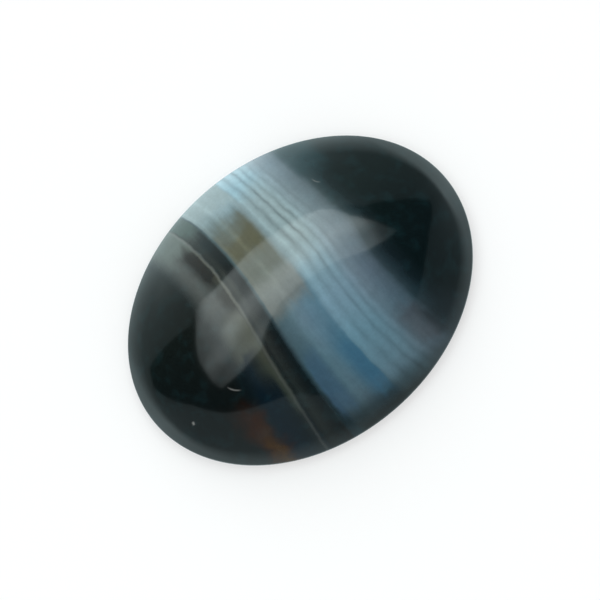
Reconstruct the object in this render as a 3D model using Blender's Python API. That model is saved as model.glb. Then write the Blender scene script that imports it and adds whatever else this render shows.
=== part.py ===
# Oval cabochon of sulemani agate: one polished piece of layered stone with a
# domed face, a thin girdle and a flat underside to stand on.
# Metres, +Z up. +X runs along the long axis, across the stone's layers.
# The origin is the centre of the flat underside.

import math

import bmesh
import bpy

# Driving dimensions
LENGTH = 0.0200          # long axis at the girdle
WIDTH = 0.0154           # short axis at the girdle
DOME_HEIGHT = 0.0040     # from the girdle's top edge to the apex
GIRDLE_HEIGHT = 0.00030  # upright band round the widest outline
BASE_BEVEL = 0.0004      # 45 degree edge ground all round the underside

# The dome is the cap of an ellipsoid cut above its equator, where the oval is
# this share of the widest one. At 1 the dome would meet the girdle upright.
CAP_SHARE = 0.93

# Faceting
SEGMENTS = 120           # round the outline
DOME_RINGS = 26          # from the apex to the girdle

STONE_COLOUR = (0.052, 0.070, 0.082, 1.0)
STONE_ROUGHNESS = 0.08


def half_profile():
    """Points (radius, height) along the long axis, from the apex down to the underside."""
    cut_angle = math.asin(CAP_SHARE)
    equator_radius = LENGTH / 2 / CAP_SHARE
    polar_radius = DOME_HEIGHT / (1 - math.cos(cut_angle))
    girdle_top = BASE_BEVEL + GIRDLE_HEIGHT
    points = []
    for ring in range(DOME_RINGS + 1):
        angle = cut_angle * ring / DOME_RINGS
        radius = equator_radius * math.sin(angle)
        height = girdle_top + polar_radius * (math.cos(angle) - math.cos(cut_angle))
        points.append((radius, height))
    points.append((LENGTH / 2, 0.0))
    return points


def turn_profile(bm, points):
    """Spins the half profile into a round, open-bottomed shell."""
    chain = [bm.verts.new((radius, 0.0, height)) for radius, height in points]
    edges = [bm.edges.new(pair) for pair in zip(chain, chain[1:])]
    bmesh.ops.spin(
        bm,
        geom=chain + edges,
        cent=(0, 0, 0),
        axis=(0, 0, 1),
        angle=2 * math.pi,
        steps=SEGMENTS,
        use_duplicate=False,
    )
    bmesh.ops.remove_doubles(bm, verts=bm.verts, dist=1e-7)


def close_and_bevel_base(bm):
    """Fills the open rim with one flat face, then grinds its edge back at 45 degrees."""
    rim = [edge for edge in bm.edges if edge.is_boundary]
    bmesh.ops.contextual_create(bm, geom=rim)
    bmesh.ops.bevel(
        bm,
        geom=rim,
        offset=BASE_BEVEL,
        offset_type="OFFSET",
        segments=1,
        profile=0.5,
        affect="EDGES",
    )


def stone_material():
    """Polished stone in its overall colour; the layers are colour, not shape."""
    material = bpy.data.materials.new("polished_agate")
    material.use_nodes = True
    shader = material.node_tree.nodes["Principled BSDF"]
    shader.inputs["Base Color"].default_value = STONE_COLOUR
    shader.inputs["Roughness"].default_value = STONE_ROUGHNESS
    shader.inputs["Metallic"].default_value = 0.0
    material.diffuse_color = STONE_COLOUR
    return material


def make_cabochon():
    """The whole stone as one closed solid, standing on its flat underside."""
    bm = bmesh.new()
    turn_profile(bm, half_profile())
    bmesh.ops.scale(bm, vec=(1.0, WIDTH / LENGTH, 1.0), verts=bm.verts)
    close_and_bevel_base(bm)
    bmesh.ops.recalc_face_normals(bm, faces=bm.faces)

    mesh = bpy.data.meshes.new("agate_cabochon")
    bm.to_mesh(mesh)
    bm.free()
    mesh.shade_smooth()
    mesh.set_sharp_from_angle(angle=math.radians(30))
    mesh.materials.append(stone_material())
    stone = bpy.data.objects.new("agate_cabochon", mesh)
    bpy.context.scene.collection.objects.link(stone)
    return stone


def main():
    for old in list(bpy.data.objects):
        bpy.data.objects.remove(old, do_unlink=True)
    make_cabochon()


main()
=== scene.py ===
# Looks of the banded agate cabochon: a fine polished dome and underside in
# place of the plain solid, the layered stone, white paper and soft light.
# Metres, +Z up, as in the frame. +X runs across the stone's layers.

import math

import bpy
import numpy as np
from mathutils import Matrix, Vector


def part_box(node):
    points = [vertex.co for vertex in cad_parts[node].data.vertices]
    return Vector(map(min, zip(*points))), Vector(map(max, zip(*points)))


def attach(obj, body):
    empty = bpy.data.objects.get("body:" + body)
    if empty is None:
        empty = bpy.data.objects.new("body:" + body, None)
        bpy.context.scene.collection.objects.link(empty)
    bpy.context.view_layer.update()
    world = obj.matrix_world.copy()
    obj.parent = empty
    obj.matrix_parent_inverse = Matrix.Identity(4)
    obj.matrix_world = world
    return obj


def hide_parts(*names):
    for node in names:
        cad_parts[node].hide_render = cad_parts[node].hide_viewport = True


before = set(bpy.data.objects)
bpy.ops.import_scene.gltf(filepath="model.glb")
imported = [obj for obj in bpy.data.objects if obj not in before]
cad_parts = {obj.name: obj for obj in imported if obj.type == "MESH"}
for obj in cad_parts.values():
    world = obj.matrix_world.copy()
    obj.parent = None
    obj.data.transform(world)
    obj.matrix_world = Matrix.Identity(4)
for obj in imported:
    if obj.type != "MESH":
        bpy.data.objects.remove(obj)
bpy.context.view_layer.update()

MM = 0.001
NODE = "agate_cabochon"

# The stone's own sizes, as the solid has them
NODE_LOW, NODE_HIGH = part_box(NODE)
HALF_LENGTH = (NODE_HIGH.x - NODE_LOW.x) / 2
HALF_WIDTH = (NODE_HIGH.y - NODE_LOW.y) / 2
APEX = NODE_HIGH.z
BASE_BEVEL = 0.4 * MM
GIRDLE_HEIGHT = 0.3 * MM
GIRDLE_TOP = BASE_BEVEL + GIRDLE_HEIGHT
CAP_SHARE = 0.93
CUT_ANGLE = math.asin(CAP_SHARE)
POLAR_RADIUS = (APEX - GIRDLE_TOP) / (1 - math.cos(CUT_ANGLE))

# How far the bevel's two edges are worn round
EDGE_WEAR = 0.05 * MM

# Fineness of the visible mesh: cells along each side of the dome and underside
CELLS = 200

# The photograph's view: 600 pixels across, 19 to the millimetre at the stone
PICTURE_PIXELS = 600
PIXELS_PER_MM = 19.0
VIEW_ELEVATION = math.radians(79.2)
VIEW_ROLL = math.radians(40.3)
VIEW_DISTANCE = 0.200
VIEW_TARGET = Vector((0, 0, 0.5 * MM))


def make_camera():
    """Looks steeply down over the near long side, turned so that the long axis climbs to the right."""
    back = Vector((0, -math.cos(VIEW_ELEVATION), math.sin(VIEW_ELEVATION)))
    camera = bpy.data.objects.new("camera", bpy.data.cameras.new("camera"))
    camera.matrix_world = (
        Matrix.Translation(VIEW_TARGET + back * VIEW_DISTANCE)
        @ (-back).to_track_quat("-Z", "Y").to_matrix().to_4x4()
        @ Matrix.Rotation(-VIEW_ROLL, 4, "Z")
    )
    seen_width = PICTURE_PIXELS / PIXELS_PER_MM * MM
    camera.data.sensor_width = 36
    camera.data.lens = camera.data.sensor_width * VIEW_DISTANCE / seen_width
    camera.data.clip_start = 0.01
    camera.data.clip_end = 10
    bpy.context.scene.collection.objects.link(camera)
    bpy.context.scene.camera = camera


def outline(turn, inset):
    """Points of the girdle's oval at these angles, moved this far inwards."""
    edge = np.stack([HALF_LENGTH * np.cos(turn), HALF_WIDTH * np.sin(turn)], axis=-1)
    outward = np.stack([HALF_WIDTH * np.cos(turn), HALF_LENGTH * np.sin(turn)], axis=-1)
    outward /= np.linalg.norm(outward, axis=-1, keepdims=True)
    return edge - inset * outward


def disc_grid():
    """Share of the way out and angle of each point of a square grid pressed into a disc."""
    line = np.linspace(-1, 1, CELLS + 1)
    across, along = np.meshgrid(line, line)
    share = np.maximum(abs(across), abs(along))
    side_on = abs(across) >= abs(along)
    with np.errstate(divide="ignore", invalid="ignore"):
        side_turn = math.pi / 4 * along / across + np.where(across < 0, math.pi, 0)
        end_turn = math.pi / 2 - math.pi / 4 * across / along + np.where(along < 0, math.pi, 0)
    turn = np.where(side_on, side_turn, end_turn)
    turn[share == 0] = 0
    return share.ravel(), turn.ravel()


def grid_faces(first, upward):
    """Quads of one disc grid whose points start at this index."""
    row = CELLS + 1
    corner = (np.arange(CELLS)[:, None] * row + np.arange(CELLS)).ravel() + first
    quads = np.stack([corner, corner + 1, corner + row + 1, corner + row], axis=1)
    return quads if upward else quads[:, ::-1]


def dome_points(share, turn):
    """The polished cap of an ellipsoid, its rings at even angles."""
    angle = share * CUT_ANGLE
    flat = outline(turn, 0.0) * (np.sin(angle) / CAP_SHARE)[:, None]
    height = GIRDLE_TOP + POLAR_RADIUS * (np.cos(angle) - math.cos(CUT_ANGLE))
    return np.column_stack([flat, height])


def side_profile():
    """(inset, height) of the rings between the dome's rim and the flat, with worn edges."""
    return [
        (0.0, BASE_BEVEL + EDGE_WEAR),
        (0.15 * EDGE_WEAR, BASE_BEVEL + 0.4 * EDGE_WEAR),
        (0.55 * EDGE_WEAR, BASE_BEVEL - 0.35 * EDGE_WEAR),
        (BASE_BEVEL / 2, BASE_BEVEL / 2),
        (BASE_BEVEL - 0.8 * EDGE_WEAR, 0.9 * EDGE_WEAR),
        (BASE_BEVEL - 0.1 * EDGE_WEAR, 0.3 * EDGE_WEAR),
        (BASE_BEVEL + 0.5 * EDGE_WEAR, 0.05 * EDGE_WEAR),
        (BASE_BEVEL + 1.2 * EDGE_WEAR, 0.0),
    ]


def make_stone_mesh():
    """The whole closed surface: dome, girdle, bevel and flat."""
    share, turn = disc_grid()
    rim = np.flatnonzero(share == 1)
    rim = rim[np.argsort(turn[rim] % (2 * math.pi))]
    rings = side_profile()

    points = [dome_points(share, turn)]
    faces = [grid_faces(0, upward=True)]
    upper = rim
    start = len(share)
    for inset, height in rings[:-1]:
        flat = outline(turn[rim], inset)
        points.append(np.column_stack([flat, np.full(len(rim), height)]))
        lower = start + np.arange(len(rim))
        faces.append(np.stack([upper, lower, np.roll(lower, -1), np.roll(upper, -1)], axis=1))
        upper = lower
        start += len(rim)
    base_inset, base_height = rings[-1]
    flat = outline(turn, base_inset) * share[:, None]
    points.append(np.column_stack([flat, np.full(len(share), base_height)]))
    lower = start + rim
    faces.append(np.stack([upper, lower, np.roll(lower, -1), np.roll(upper, -1)], axis=1))
    faces.append(grid_faces(start, upward=False))

    mesh = bpy.data.meshes.new("polished_stone")
    mesh.from_pydata(np.concatenate(points).tolist(), [], np.concatenate(faces).tolist())
    mesh.validate()
    mesh.shade_smooth()
    return mesh


# The stone's layers: place across it, in millimetres at mid-width, and colour
# there halfway along the layer
LAYERS = [
    (-10.0, (0.003, 0.006, 0.007)), (-5.0, (0.004, 0.006, 0.006)), (-4.4, (0.004, 0.008, 0.010)),
    (-3.9, (0.009, 0.016, 0.021)), (-3.5, (0.018, 0.023, 0.022)), (-3.05, (0.040, 0.045, 0.034)),
    (-2.80, (0.040, 0.044, 0.038)), (-2.72, (0.010, 0.013, 0.013)), (-2.50, (0.019, 0.023, 0.022)),
    (-2.10, (0.009, 0.012, 0.013)), (-1.83, (0.006, 0.011, 0.013)), (-1.65, (0.036, 0.060, 0.072)),
    (-1.50, (0.051, 0.087, 0.105)), (-1.10, (0.063, 0.108, 0.132)), (-0.80, (0.078, 0.130, 0.158)),
    (-0.35, (0.098, 0.158, 0.200)), (0.10, (0.089, 0.157, 0.206)), (0.74, (0.075, 0.146, 0.195)),
    (0.96, (0.130, 0.218, 0.275)), (1.25, (0.138, 0.228, 0.287)), (2.40, (0.131, 0.210, 0.262)),
    (2.80, (0.126, 0.184, 0.229)), (3.10, (0.108, 0.152, 0.189)), (3.60, (0.083, 0.119, 0.152)),
    (4.05, (0.061, 0.088, 0.112)), (4.22, (0.044, 0.066, 0.083)), (4.38, (0.024, 0.039, 0.048)),
    (4.60, (0.015, 0.027, 0.034)), (5.0, (0.006, 0.012, 0.015)), (5.6, (0.003, 0.007, 0.008)),
    (10.0, (0.003, 0.006, 0.007)),
]

# How the layers lie in the stone: their fanning out for each millimetre towards
# the near side and its growth to the right, their dip, and the one slow wave that
# all share
FAN = 0.0264
FAN_GROWTH = 0.0178
DIP = 0.03
WAVE_TURN = 0.38
WAVE_SINE = 0.33
WAVE_COSINE = 0.06

# Painted shade and light along all layers: millimetres towards the far side, and what their colour is
# multiplied by there. It darkens the layers towards the near side as painted shade, and lightens and warms
# them towards the far side as painted light.
PAINTED_SHADE_AND_LIGHT_ALONG = [
    (-7.5, (0.05, 0.05, 0.04)), (-6.9, (0.26, 0.28, 0.27)), (-6.4, (0.54, 0.58, 0.58)),
    (-5.8, (0.67, 0.74, 0.74)), (-4.0, (0.75, 0.87, 0.88)), (-1.7, (1.00, 1.00, 1.00)),
    (0.5, (1.17, 1.12, 1.03)), (2.3, (1.46, 1.36, 1.18)), (4.5, (1.34, 1.27, 1.13)),
    (6.4, (1.56, 1.50, 1.39)), (7.5, (2.15, 1.92, 1.76)),
]

# Fine layers: place, half width, and how much lighter or darker each is
FINE_LAYERS = [
    (-1.52, 0.10, 0.08), (-0.60, 0.16, 0.16), (1.10, 0.12, 0.12), (1.50, 0.14, -0.20),
    (1.81, 0.14, 0.08), (2.10, 0.09, -0.24), (2.34, 0.11, 0.10), (2.57, 0.09, -0.14),
    (2.80, 0.11, 0.10), (3.02, 0.08, -0.08), (3.28, 0.07, 0.04), (3.50, 0.09, -0.05),
]

# Stains and clouds over the layers, and a painted light on the far rim. Each has four edges as (place,
# softness): left and right across the layers, near and far along them; then its colour and strength.
ENDLESS = (9.0, 1.0)
STAINS_AND_PAINTED_LIGHT = {
    # Partly the pale layers towards the far rim, partly painted light there, pale and cool like the
    # mirrored room
    "far_rim_pale_and_painted_light": ((-1.66, 0.12), (0.85, 0.3), (5.7, 2.2), ENDLESS, (0.225, 0.290, 0.300), 0.92),
    "warm_foot": ((-1.62, 0.14), (0.75, 0.4), (-0.6, 1.2), (1.4, 1.2), (0.134, 0.141, 0.128), 0.80),
    "brown_cloud": ((-1.62, 0.14), (0.60, 0.45), (0.85, 1.8), (5.3, 1.5), (0.088, 0.096, 0.076), 0.93),
    "brown_core": ((-0.35, 0.9), (0.55, 0.4), (1.9, 1.8), (4.7, 1.8), (0.068, 0.074, 0.048), 0.60),
    "olive_streaks": ((-1.50, 0.3), (0.45, 0.5), (2.8, 0.9), (4.1, 0.9), (0.076, 0.068, 0.030), 0.60),
    "warm_veil": ((0.55, 0.4), (2.60, 0.9), (0.9, 1.6), (5.8, 1.4), (0.205, 0.236, 0.228), 0.48),
    "smoke": ((-4.50, 1.0), (-3.15, 0.9), (1.0, 1.9), ENDLESS, (0.064, 0.070, 0.065), 0.92),
    "smoke_edge": ((-4.25, 1.0), (-2.74, 0.2), (5.4, 1.3), ENDLESS, (0.098, 0.121, 0.110), 0.90),
    "burnt_gap": ((-3.62, 0.6), (-2.87, 0.1), (3.0, 0.9), (5.4, 1.2), (0.006, 0.003, 0.001), 0.92),
    "dusky_gap": ((-3.45, 0.6), (-2.92, 0.1), (0.4, 0.5), (2.9, 1.0), (0.013, 0.012, 0.009), 0.90),
    "dark_band_edge": ((-2.66, 0.16), (-1.76, 0.1), (6.0, 1.1), ENDLESS, (0.054, 0.082, 0.072), 0.85),
    "dark_band_shade": ((-2.72, 0.1), (-1.78, 0.1), (2.9, 1.0), (5.5, 0.8), (0.004, 0.006, 0.005), 0.65),
    "dark_band_core": ((-2.30, 0.3), (-1.82, 0.1), (0.6, 1.0), (5.6, 0.8), (0.001, 0.003, 0.003), 0.80),
    "navy_cloud": ((-4.3, 0.6), (-3.10, 0.4), (-9.0, 1.0), (-3.0, 1.6), (0.001, 0.006, 0.012), 0.80),
    "olive_patch": ((-4.3, 0.9), (-2.95, 0.1), (-1.1, 0.6), (0.8, 1.2), (0.056, 0.060, 0.044), 0.70),
    "near_shade": ((-3.35, 0.4), (-2.70, 0.08), (-9.0, 1.0), (-4.5, 1.6), (0.003, 0.007, 0.010), 0.75),
    "near_edge": ((-1.76, 0.1), (-1.38, 0.25), (-9.0, 1.0), (-5.2, 1.4), (0.003, 0.013, 0.018), 0.80),
    "deep_blue": ((0.10, 0.7), (0.86, 0.14), (-6.6, 1.2), (-3.4, 2.2), (0.031, 0.100, 0.165), 0.75),
    "blue_left": ((-1.60, 0.2), (-0.75, 0.5), (-6.4, 1.2), (-3.2, 1.6), (0.036, 0.080, 0.130), 0.65),
    "dusky_near": ((3.00, 0.8), (4.15, 0.5), (-6.3, 0.8), (-4.2, 1.6), (0.052, 0.060, 0.070), 0.65),
    "right_shade": ((3.80, 0.6), (5.6, 0.6), (-9.0, 1.0), (-5.0, 1.6), (0.006, 0.011, 0.014), 0.75),
    "far_shade": ((4.08, 0.4), (5.8, 0.6), (4.4, 1.6), ENDLESS, (0.010, 0.035, 0.042), 0.60),
}

# Streaks at the near left that lean across the layers, told in the same way
STREAK_LEAN = 0.10
STREAKS = {
    "rust": ((-7.00, 1.1), (-5.90, 1.1), (-7.0, 1.0), (-2.9, 1.8), (0.024, 0.006, 0.001), 0.85),
    "ochre": ((-6.75, 0.7), (-6.05, 0.7), (-6.5, 1.0), (-4.6, 1.6), (0.042, 0.019, 0.001), 0.70),
}
# A faint mottle all over the stone
MOTTLE_COLOUR = (0.001, 0.005, 0.006)

# The white line on the left of the dark band
WHITE_LINE_PLACE = -2.88
WHITE_LINE_COLOUR = (0.165, 0.175, 0.165)

# Pale marks on the polish: place, length, half width, turn in degrees, bend,
# strength
MARKS = [
    (-5.62, -1.95, 0.60, 0.035, -52, 0.5, 0.16),
    (-8.40, -1.65, 0.16, 0.060, 75, 0.0, 0.22),
    (4.62, 3.72, 0.42, 0.030, -62, 0.9, 0.10),
]
MARK_COLOUR = (0.75, 0.75, 0.72)

# Gloss of the polished dome and of the ground faces below it
POLISH_ROUGHNESS = 0.09
GROUND_ROUGHNESS = 0.34
REFRACTION = 1.54


class Wire:
    """A shader output that arithmetic works on: each operation adds one node."""

    def __init__(self, tree, socket):
        self.tree = tree
        self.socket = socket

    def math(self, operation, *others):
        node = self.tree.nodes.new("ShaderNodeMath")
        node.operation = operation
        self.tree.links.new(self.socket, node.inputs[0])
        for place, other in enumerate(others, start=1):
            if isinstance(other, Wire):
                self.tree.links.new(other.socket, node.inputs[place])
            else:
                node.inputs[place].default_value = other
        return Wire(self.tree, node.outputs[0])

    def __add__(self, other):
        return self.math("ADD", other)

    def __sub__(self, other):
        return self.math("SUBTRACT", other)

    def __mul__(self, other):
        return self.math("MULTIPLY", other)

    def soft(self, low, high):
        """0 up to low, 1 from high, smooth between them."""
        node = self.tree.nodes.new("ShaderNodeMapRange")
        node.interpolation_type = "SMOOTHSTEP"
        self.tree.links.new(self.socket, node.inputs["Value"])
        node.inputs["From Min"].default_value = low
        node.inputs["From Max"].default_value = high
        return Wire(self.tree, node.outputs["Result"])

    def within(self, low_edge, high_edge):
        """1 between two edges, each given as (place, softness), and 0 outside them."""
        low, low_half = low_edge[0], low_edge[1] / 2
        high, high_half = high_edge[0], high_edge[1] / 2
        return self.soft(low - low_half, low + low_half) * self.soft(high + high_half, high - high_half)

    def hump(self, centre, half_width):
        """1 at the centre, falling off to both sides like a bell."""
        away = (self - centre) * (1 / half_width)
        return (away * away * -1.0).math("EXPONENT")


def ramp_nodes(tree, value, stops):
    """A colour ramp of (place, colour) stops, which may be brighter than 1."""
    low, high = stops[0][0], stops[-1][0]
    peak = max(max(colour) for place, colour in stops)
    ramp = tree.nodes.new("ShaderNodeValToRGB")
    tree.links.new(((value - low) * (1 / (high - low))).socket, ramp.inputs[0])
    while len(ramp.color_ramp.elements) < len(stops):
        ramp.color_ramp.elements.new(0.5)
    for element, (place, colour) in zip(ramp.color_ramp.elements, stops):
        element.position = (place - low) / (high - low)
        element.color = (*(part / peak for part in colour), 1)
    scale = tree.nodes.new("ShaderNodeVectorMath")
    scale.operation = "SCALE"
    scale.inputs["Scale"].default_value = peak
    tree.links.new(ramp.outputs[0], scale.inputs[0])
    return scale.outputs[0]


def combined(tree, operation, first, second):
    """Two colours multiplied or added."""
    node = tree.nodes.new("ShaderNodeVectorMath")
    node.operation = operation
    tree.links.new(first, node.inputs[0])
    tree.links.new(second, node.inputs[1])
    return node.outputs[0]


def scaled(tree, colour, share):
    """A plain colour, as bright as the share says."""
    node = tree.nodes.new("ShaderNodeVectorMath")
    node.operation = "SCALE"
    node.inputs[0].default_value = colour
    tree.links.new(share.socket, node.inputs["Scale"])
    return node.outputs[0]


def laid_over(tree, under, colour, share):
    """This colour laid over another, as thick as the share says."""
    node = tree.nodes.new("ShaderNodeMix")
    node.data_type = "RGBA"
    tree.links.new(share.socket, node.inputs["Factor"])
    tree.links.new(under, node.inputs["A"])
    node.inputs["B"].default_value = (*colour, 1)
    return node.outputs["Result"]


def noise(tree, place, per_mm, detail=2.0, stretch=(1, 1, 1)):
    """Noise from -0.5 to 0.5 or so, with this many lumps to the millimetre."""
    mapping = tree.nodes.new("ShaderNodeMapping")
    mapping.inputs["Scale"].default_value = stretch
    tree.links.new(place, mapping.inputs["Vector"])
    node = tree.nodes.new("ShaderNodeTexNoise")
    node.inputs["Scale"].default_value = per_mm
    node.inputs["Detail"].default_value = detail
    tree.links.new(mapping.outputs[0], node.inputs["Vector"])
    return Wire(tree, node.outputs["Fac"]) - 0.5


def layer_place(x, y, z):
    """How far across the layers a point is, in millimetres, as told at mid-width on the dome."""
    fan = (x * FAN_GROWTH + FAN) * y
    dip = (x * DIP - DIP) * (z - APEX / MM)
    turn = y * WAVE_TURN
    wave = turn.math("SINE") * WAVE_SINE + turn.math("COSINE") * WAVE_COSINE
    return x + fan + dip - wave


def unsteady_places(tree, place, x, y, z):
    """Places across and along the layers, as rippled and frayed as the stone's own.

    The right edge of the pale layers swells outwards near mid-width."""
    ripple = noise(tree, place, 0.9, stretch=(0.4, 1, 0.4)) * 0.14
    tremor = noise(tree, place, 3.0, stretch=(0.3, 1, 0.3)) * 0.06
    across = layer_place(x, y, z) + ripple + tremor
    swelling = y.hump(0.9, 1.1) * across.soft(3.2, 4.2) * 0.26
    frayed = noise(tree, place, 3.2, detail=3.0, stretch=(1, 0.12, 0.12)) * 0.9
    along = y + noise(tree, place, 0.7) * 1.2 + frayed
    return across - swelling, along


def laid_patches(tree, colour, patches, across, along):
    """Patches laid over a colour, each between its four edges. Those of the stains table include the
    painted light on the far rim.
    """
    for left, right, near, far, patch_colour, strength in patches.values():
        share = across.within(left, right) * along.within(near, far)
        colour = laid_over(tree, colour, patch_colour, share * strength)
    return colour


def fine_gain(tree, place, y, pinched):
    """How much lighter or darker the grain and the fine layers make the colour.

    The fine layers are clearest in the far half, and fade and return along their length."""
    clearness = (y.soft(-1.5, 2.5) - y.soft(4.6, 6.4) * 0.4) * 0.8 + 0.6
    clearness = clearness * (noise(tree, place, 1.1, detail=3.0) * 2.4 + 1.0)
    gain = noise(tree, place, 2.2, detail=4.0) * 0.25 + noise(tree, place, 8.0) * 0.16 + 1.0
    gain = gain + noise(tree, place, 5.0, stretch=(1, 0.15, 0.15)) * 0.16
    for centre, half_width, change in FINE_LAYERS:
        gain = gain + pinched.hump(centre, half_width) * clearness * change
    return gain


def with_white_line(tree, colour, y, pinched):
    """The white line, which is thin and faint in the near half and wider in the far one."""
    away = (pinched - WHITE_LINE_PLACE) * (y.soft(-2.0, 3.0) * -5.0 + 17.5)
    strength = y.soft(-1.0, 4.0) * 0.23 - y.hump(4.2, 1.0) * 0.11 + 0.12
    line = (away * away * -1.0).math("EXPONENT")
    return laid_over(tree, colour, WHITE_LINE_COLOUR, line * strength)


def with_marks(tree, colour, x, y, z):
    """The pale marks, which are on the dome alone."""
    on_dome = z.soft(BASE_BEVEL / MM, GIRDLE_TOP / MM)
    for mark_x, mark_y, length, half_width, turn, bend, strength in MARKS:
        cosine, sine = math.cos(math.radians(turn)), math.sin(math.radians(turn))
        lengthwise = (x - mark_x) * cosine + (y - mark_y) * sine
        sideways = (y - mark_y) * cosine - (x - mark_x) * sine - lengthwise * lengthwise * bend
        ends = lengthwise.within((-length / 2, length / 2), (length / 2, length / 2))
        share = ends * sideways.hump(0, half_width) * on_dome
        colour = laid_over(tree, colour, MARK_COLOUR, share * strength)
    return colour


def stone_colour(tree, place, x, y, z):
    """The layers, their stains and streaks, the grain and fine lines, and the pale marks, with painted
    shade towards the near side and painted light towards the far side and its rim.
    """
    across, along = unsteady_places(tree, place, x, y, z)
    # The layers' colour times painted shade towards the near side and painted light towards the far side
    colour = combined(tree, "MULTIPLY", ramp_nodes(tree, across, LAYERS), ramp_nodes(tree, y, PAINTED_SHADE_AND_LIGHT_ALONG))
    colour = laid_patches(tree, colour, STAINS_AND_PAINTED_LIGHT, across, along)
    leaning = x + y * STREAK_LEAN + noise(tree, place, 0.9, detail=4.0) * 1.9
    colour = laid_patches(tree, colour, STREAKS, leaning, along)
    mottle = noise(tree, place, 1.4, detail=4.0).soft(-0.02, 0.22)
    colour = combined(tree, "ADD", colour, scaled(tree, MOTTLE_COLOUR, mottle))

    # The fine layers and the white line draw together towards the far side
    wobble = noise(tree, place, 1.3, detail=3.0, stretch=(0.4, 1, 0.4)) * (y.soft(-1.0, 4.0) * 0.16 + 0.08)
    pinched = across + (across + 1.1) * y.soft(0.8, 4.5) * 0.075 - y.hump(1.0, 1.3) * 0.07 + wobble
    gain = fine_gain(tree, place, y, pinched)
    colour = combined(tree, "MULTIPLY", colour, scaled(tree, (1, 1, 1), gain))
    colour = with_white_line(tree, colour, y, pinched)
    return with_marks(tree, colour, x, y, z)


def stone_material():
    """Polished on the dome, and ground duller from the girdle down."""
    material = bpy.data.materials.new("banded_agate")
    material.use_nodes = True
    tree = material.node_tree
    shader = tree.nodes["Principled BSDF"]
    scale = tree.nodes.new("ShaderNodeVectorMath")
    scale.operation = "SCALE"
    scale.inputs["Scale"].default_value = 1 / MM
    tree.links.new(tree.nodes.new("ShaderNodeTexCoord").outputs["Object"], scale.inputs[0])
    place = scale.outputs[0]
    split = tree.nodes.new("ShaderNodeSeparateXYZ")
    tree.links.new(place, split.inputs[0])
    x, y, z = (Wire(tree, split.outputs[axis]) for axis in range(3))
    tree.links.new(stone_colour(tree, place, x, y, z), shader.inputs["Base Color"])

    ground = z.soft(GIRDLE_TOP / MM, BASE_BEVEL / MM)
    unevenness = noise(tree, place, 1.5, detail=3.0) * 0.04
    roughness = ground * (GROUND_ROUGHNESS - POLISH_ROUGHNESS) + unevenness + POLISH_ROUGHNESS
    tree.links.new(roughness.socket, shader.inputs["Roughness"])
    shader.inputs["IOR"].default_value = REFRACTION
    return material


def make_stone():
    """The visible stone, in the solid's place."""
    stone = bpy.data.objects.new("polished_cabochon", make_stone_mesh())
    stone.data.materials.append(stone_material())
    bpy.context.scene.collection.objects.link(stone)
    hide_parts(NODE)
    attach(stone, "root")


# Stage. The polish mirrors a lit window high over the far side, a wall all
# round, and a desk that fades into the wall's foot.
WINDOW_HEIGHT = 2.0
WALL_DISTANCE = 1.5
PAPER_DEPTH = 0.01 * MM
PAPER_WHITE = 0.42
PAPER_GLOW = 0.50
OPENING_MARGIN = 0.15 * MM
# (metres out, metres up) of the paper's rings beyond the opening
PAPER_RINGS = [(0.05, 0.0), (0.5, 0.0), (0.8, 0.0), (0.9, 0.01), (0.97, 0.05), (1.0, 0.12)]
# Degrees from one point of a ring or of the wall to the next
COMPASS_STEP = 3

# Corners of the window, as shares of its height: right of the stone, beyond it
WINDOW_CORNERS = [
    (-0.66, 1.30), (-0.78, 1.10), (-0.84, 0.80), (-0.97, 0.55), (-1.03, 0.38), (-1.04, 0.19),
    (-1.07, 0.0), (-1.04, -0.14), (-0.66, -0.13), (-0.40, -0.08), (-0.31, 0.02), (-0.21, 0.09),
    (-0.09, 0.15), (0.03, 0.17), (0.12, 0.15), (0.28, 0.13), (0.38, 0.09), (0.59, 0.0),
    (0.83, -0.04), (1.06, -0.03), (0.94, 0.13), (0.79, 0.38), (0.72, 0.51), (0.67, 0.72),
    (0.59, 0.92), (0.48, 1.09), (0.24, 1.07), (0.0, 1.06), (-0.33, 1.10), (-0.55, 1.22),
]

# The window's brightness across a bar of light in it, by the distance beyond
# the bar as a share of the window's height
WINDOW_GLOW = [
    (-0.60, 0.8), (-0.40, 1.15), (-0.20, 1.10), (-0.05, 2.30), (0.03, 2.45),
    (0.13, 1.75), (0.45, 1.90), (0.60, 1.60), (0.78, 0.95), (1.0, 0.40),
]
# The bar bends down at the left: its height there at the middle, its slope, and
# its height where it is level
BAR_START = 0.46
BAR_SLOPE = 0.28
BAR_LEVEL = 0.38
# The window's brightness from left to right, as a share
WINDOW_SIDES = [
    (-1.12, 0.28), (-0.95, 0.42), (-0.75, 0.74), (-0.50, 1.0), (0.25, 1.0), (0.50, 1.10), (0.62, 1.15),
    (0.72, 0.95), (0.82, 0.42), (1.06, 0.18),
]

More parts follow.
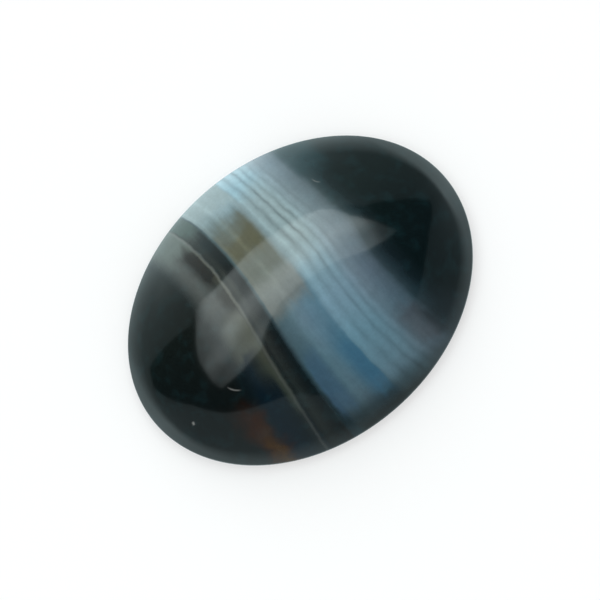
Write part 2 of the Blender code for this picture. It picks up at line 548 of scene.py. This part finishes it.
# The wall round the stone, invisible but to the polish: compass direction in
# degrees from the far side over the right, elevation of its top edge, and its
# brightness at the bottom and at the top
WALL = [
    (-180, 20, 0.15, 0.10), (-165, 31, 0.23, 0.18), (-150, 42, 0.26, 0.24), (-140, 43, 0.34, 0.28),
    (-127, 39, 0.36, 0.32), (-110, 31, 0.31, 0.31), (-100, 28, 0.32, 0.30), (-90, 24, 0.38, 0.26),
    (-80, 15, 0.38, 0.20), (-67, 2, 0.26, 0.18), (-57, 3, 0.26, 0.18), (-50, 24, 0.31, 0.19),
    (-45, 37, 0.34, 0.20), (-34, 38, 0.46, 0.22), (-25, 44, 0.82, 0.25), (-12, 46, 1.05, 0.30),
    (12, 46, 1.05, 0.30), (22, 45, 0.80, 0.29), (32, 44, 0.36, 0.23), (45, 43, 0.20, 0.23),
    (60, 42, 0.15, 0.19), (75, 30, 0.18, 0.12), (88, 12, 0.32, 0.12), (94, 17, 0.36, 0.12),
    (105, 26, 0.32, 0.13), (120, 31, 0.22, 0.14), (136, 31, 0.22, 0.15), (150, 28, 0.24, 0.14),
    (165, 22, 0.20, 0.11), (180, 20, 0.15, 0.10),
]
WALL_FOOT = math.radians(-3)

# Tints of what the polish mirrors
ROOM_TINT = (0.82, 1.03, 1.06)
WINDOW_TINT = (0.88, 1.0, 1.0)

# Even light from all round, and a soft one from the far side
ROOM_LIGHT = 0.96
FAR_LIGHT = 0.95
FAR_LIGHT_SPREAD = math.radians(50)
FAR_LIGHT_ELEVATION = math.radians(30)
FAR_LIGHT_COMPASS = math.radians(20)

# What the polish mirrors below the horizon, by compass direction as above: how
# far the pale paper reaches from the stone's middle, in millimetres, and its
# brightness. Beyond, it fades into the foot of the wall.
MIRRORED_PAPER = [
    (-180, 8.6, 0.50), (-150, 9.8, 0.62), (-135, 11.0, 0.72), (-120, 12.5, 0.82), (-105, 16, 0.95),
    (-90, 20, 1.2), (-75, 14, 0.95), (-62, 10.0, 0.64), (-50, 9.2, 0.72), (-42, 9.2, 0.76),
    (-36, 10.5, 0.85), (-30, 14, 0.95), (-24, 24, 1.0), (-18, 60, 1.1), (-12, 140, 1.2), (0, 300, 1.2),
    (12, 140, 1.2), (18, 60, 1.1), (24, 24, 0.95), (30, 14, 0.85), (38, 11, 0.80), (46, 10.5, 0.80),
    (60, 11.0, 0.72), (75, 18, 1.0), (90, 28, 1.35), (105, 16, 1.0), (120, 12.0, 0.82), (135, 10.2, 0.66),
    (150, 9.2, 0.50), (180, 8.6, 0.50),
]
# The paper's brightness under the stone's edge and beside it, as a share
SHADED_PAPER = [0.4, 0.9]
# How many times as far as the paper reaches, and how much of the way the
# brightness has come there to the foot of the wall's
DESK_RINGS = [(0.95, 0.0), (1.2, 0.3), (1.6, 0.58), (2.5, 0.86), (4.5, 1.0)]


def compass_ways(compass):
    """Level directions, one metre long, for compass degrees from the far side over the right."""
    return np.column_stack([np.sin(np.radians(compass)), np.cos(np.radians(compass))])


def oval_reach(way, inset):
    """Distance to the stone's outline along each way, the outline moved this far inwards."""
    return 1 / np.linalg.norm(way / [HALF_LENGTH - inset, HALF_WIDTH - inset], axis=1)


def table_at(table, compass):
    """The columns of a table by compass direction, read at these directions."""
    columns = np.transpose(table)
    return [np.interp(compass, columns[0], column) for column in columns[1:]]


def ring_faces(count, bands):
    """Quads between rings of this many points each, from the inside out."""
    faces = []
    for inner in range(0, bands * count, count):
        for k in range(count):
            beside = (k + 1) % count
            faces.append((inner + k, inner + beside, inner + count + beside, inner + count + k))
    return faces


def grey_ramp(tree, value, stops):
    """A ramp of (place, brightness) stops."""
    vector = ramp_nodes(tree, value, [(place, (glow, glow, glow)) for place, glow in stops])
    part = tree.nodes.new("ShaderNodeSeparateXYZ")
    tree.links.new(vector, part.inputs[0])
    return Wire(tree, part.outputs[0])


def emitter(name, colour):
    """A material that only glows, as strongly as is linked to it."""
    material = bpy.data.materials.new(name)
    material.use_nodes = True
    tree = material.node_tree
    tree.nodes.remove(tree.nodes["Principled BSDF"])
    glow = tree.nodes.new("ShaderNodeEmission")
    glow.inputs["Color"].default_value = (*colour, 1)
    tree.links.new(glow.outputs[0], tree.nodes["Material Output"].inputs["Surface"])
    return material


def stage_mesh(name, points, faces, material, only_mirrored=False):
    """A piece of the stage. If only the polish mirrors it, nothing else sees it."""
    mesh = bpy.data.meshes.new(name)
    mesh.from_pydata(points, [], faces)
    mesh.materials.append(material)
    piece = bpy.data.objects.new(name, mesh)
    if only_mirrored:
        piece.visible_camera = False
        piece.visible_diffuse = False
        piece.visible_shadow = False
    bpy.context.scene.collection.objects.link(piece)
    return piece


def window_material():
    """Glows most along a bar that bends down at the left, and fades at both sides."""
    material = emitter("window_light", WINDOW_TINT)
    tree = material.node_tree
    place = tree.nodes.new("ShaderNodeTexCoord").outputs["Object"]
    split = tree.nodes.new("ShaderNodeSeparateXYZ")
    tree.links.new(place, split.inputs[0])
    right = Wire(tree, split.outputs[0]) * (1 / WINDOW_HEIGHT)
    beyond = Wire(tree, split.outputs[1]) * (1 / WINDOW_HEIGHT)
    bar = (right * BAR_SLOPE + BAR_START).math("MINIMUM", BAR_LEVEL)
    glow = grey_ramp(tree, beyond - bar, WINDOW_GLOW) * grey_ramp(tree, right, WINDOW_SIDES)
    clouds = noise(tree, place, 2.2, detail=4.0) * 1.1 + 1.0
    tree.links.new((glow * clouds).socket, tree.nodes["Emission"].inputs["Strength"])
    return material


def make_window():
    """The window, with the outline that the polish mirrors."""
    corners = [(x * WINDOW_HEIGHT, y * WINDOW_HEIGHT, WINDOW_HEIGHT) for x, y in WINDOW_CORNERS]
    window = stage_mesh("window", corners, [range(len(corners))], window_material())
    window.visible_camera = False


def glowing_mesh(name, points, faces, brightness):
    """Something only mirrored, with its own brightness at each point."""
    material = emitter(name + "_glow", ROOM_TINT)
    tree = material.node_tree
    glow = tree.nodes.new("ShaderNodeAttribute")
    glow.attribute_name = "brightness"
    tree.links.new(glow.outputs["Fac"], tree.nodes["Emission"].inputs["Strength"])
    piece = stage_mesh(name, points, faces, material, only_mirrored=True)
    piece.data.attributes.new("brightness", "FLOAT", "POINT").data.foreach_set("value", brightness)


def make_wall():
    """The wall all round, its height and brightness changing with the direction."""
    compass = np.arange(-180, 181, COMPASS_STEP)
    top, bottom_glow, top_glow = table_at(WALL, compass)
    way = WALL_DISTANCE * compass_ways(compass)
    foot = np.column_stack([way, np.full(len(way), WALL_DISTANCE * math.tan(WALL_FOOT))])
    head = np.column_stack([way, WALL_DISTANCE * np.tan(np.radians(top))])
    count = len(way)
    faces = [(k, k + 1, count + k + 1, count + k) for k in range(count - 1)]
    brightness = np.concatenate([bottom_glow, top_glow])
    glowing_mesh("wall", np.concatenate([foot, head]).tolist(), faces, brightness)


def paper_material():
    """White paper that glows a little, as paper does that light soaks into, so its shadows are soft."""
    material = bpy.data.materials.new("white_paper")
    material.use_nodes = True
    shader = material.node_tree.nodes["Principled BSDF"]
    shader.inputs["Base Color"].default_value = (PAPER_WHITE, PAPER_WHITE, PAPER_WHITE, 1)
    shader.inputs["Roughness"].default_value = 0.9
    shader.inputs["Specular IOR Level"].default_value = 0.0
    shader.inputs["Emission Color"].default_value = (1, 1, 1, 1)
    shader.inputs["Emission Strength"].default_value = PAPER_GLOW
    return material


def make_paper():
    """White paper to stand on, curving up at its far edge into a low pale wall.

    An opening within the flat lets light reach the stone's underside."""
    way = compass_ways(np.arange(-180, 180, COMPASS_STEP))
    opening = way * oval_reach(way, BASE_BEVEL + OPENING_MARGIN)[:, None]
    rings = [np.column_stack([opening, np.full(len(way), -PAPER_DEPTH)])]
    for radius, height in PAPER_RINGS:
        rings.append(np.column_stack([way * radius, np.full(len(way), height - PAPER_DEPTH)]))
    points = np.concatenate(rings).tolist()
    paper = stage_mesh("paper", points, ring_faces(len(way), len(PAPER_RINGS)), paper_material())
    paper.data.shade_smooth()
    paper.visible_glossy = False


def make_desk():
    """The paper and desk as the polish mirrors them, fading into the foot of the wall."""
    compass = np.arange(-180, 180, COMPASS_STEP)
    way = compass_ways(compass)
    foot_glow = table_at(WALL, compass)[1]
    reach, paper_glow = table_at(MIRRORED_PAPER, compass)
    distances = [oval_reach(way, BASE_BEVEL + OPENING_MARGIN), oval_reach(way, 0.0)]
    brightness = [paper_glow * share for share in SHADED_PAPER]
    for times, share in DESK_RINGS:
        distances.append(reach * MM * times)
        brightness.append(paper_glow + (foot_glow - paper_glow) * share)
    distances.append(np.full(len(way), WALL_DISTANCE))
    brightness.append(foot_glow)
    depth = np.full(len(way), -PAPER_DEPTH)
    points = [np.column_stack([way * distance[:, None], depth]) for distance in distances]
    faces = ring_faces(len(way), len(distances) - 1)
    glowing_mesh("desk", np.concatenate(points).tolist(), faces, np.concatenate(brightness))


def make_room_light():
    """Even light from all round and more from the far side, which the polish doesn't mirror."""
    world = bpy.data.worlds.new("room")
    bpy.context.scene.world = world
    world.use_nodes = True
    background = world.node_tree.nodes["Background"]
    background.inputs["Color"].default_value = (1.0, 1.0, 1.0, 1)
    background.inputs["Strength"].default_value = ROOM_LIGHT
    world.cycles_visibility.glossy = False

    lamp = bpy.data.lights.new("far_light", "SUN")
    lamp.energy = FAR_LIGHT
    lamp.angle = FAR_LIGHT_SPREAD
    far_light = bpy.data.objects.new("far_light", lamp)
    far_light.rotation_euler = (FAR_LIGHT_ELEVATION - math.pi / 2, 0, -FAR_LIGHT_COMPASS)
    far_light.visible_glossy = False
    bpy.context.scene.collection.objects.link(far_light)


def main():
    """The camera, the stone and its stage."""
    make_camera()
    make_stone()
    make_paper()
    make_desk()
    make_window()
    make_wall()
    make_room_light()
    bpy.context.scene.view_settings.view_transform = "Standard"


main()
